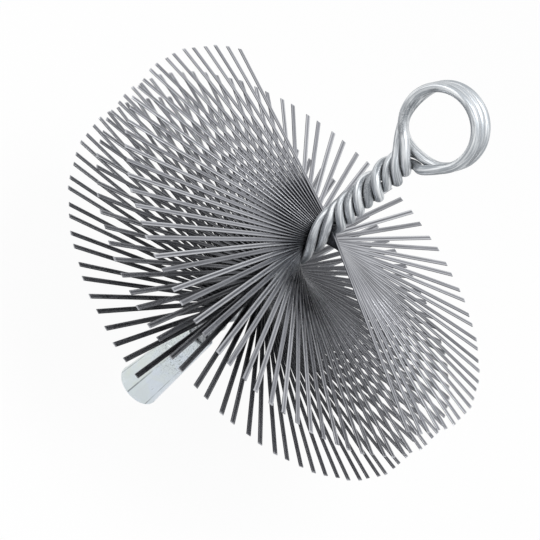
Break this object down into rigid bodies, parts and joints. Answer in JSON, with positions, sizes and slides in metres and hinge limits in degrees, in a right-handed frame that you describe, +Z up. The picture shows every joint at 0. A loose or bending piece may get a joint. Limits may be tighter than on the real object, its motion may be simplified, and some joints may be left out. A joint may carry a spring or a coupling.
{
  "type": "chimney sweep brush",
  "caption": "Flue sweeping brush head: flat steel strips fanned in a twisted wire stem, with a pulling eye at the top and a threaded sleeve for a rod at the bottom.",
  "frame": {"origin": "centre of the sleeve's open mouth, on the stem's axis", "axes": "+Z up the stem from the mouth to the eye, +Y through the eye's coils from front to back, +X across the eye"},
  "size_m": [0.2016, 0.2016, 0.2223],
  "materials": {
    "strip_steel": "bare rolled flat wire, dull grey with brighter rounded edges",
    "galvanised_wire": "bright zinc, streaked along the wire",
    "plated_sleeve": "satin zinc plating, slightly green and blue"
  },
  "bodies": {
    "root": {"strip_pack_01": "strip_steel", "strip_pack_02": "strip_steel", "strip_pack_03": "strip_steel", "strip_pack_04": "strip_steel", "strip_pack_05": "strip_steel", "strip_pack_06": "strip_steel", "strip_pack_07": "strip_steel", "strip_pack_08": "strip_steel", "strip_pack_09": "strip_steel", "strip_pack_10": "strip_steel", "strip_pack_11": "strip_steel", "strip_pack_12": "strip_steel", "strip_pack_13": "strip_steel", "strip_pack_14": "strip_steel", "strip_pack_15": "strip_steel", "strip_pack_16": "strip_steel", "strip_pack_17": "strip_steel", "strip_pack_18": "strip_steel", "strip_pack_19": "strip_steel", "strip_pack_20": "strip_steel", "strip_pack_21": "strip_steel", "strip_pack_22": "strip_steel", "strip_pack_23": "strip_steel", "strip_pack_24": "strip_steel", "strip_pack_25": "strip_steel", "strip_pack_26": "strip_steel", "strip_pack_27": "strip_steel", "strip_pack_28": "strip_steel", "strip_pack_29": "strip_steel", "strip_pack_30": "strip_steel", "strip_pack_31": "strip_steel", "strip_pack_32": "strip_steel", "strip_pack_33": "strip_steel", "strip_pack_34": "strip_steel", "strip_pack_35": "strip_steel", "strip_pack_36": "strip_steel", "strip_pack_37": "strip_steel", "wire_once_round_eye": "galvanised_wire", "wire_twice_round_eye": "galvanised_wire", "threaded_sleeve": "plated_sleeve"}
  },
  "joints": []
}
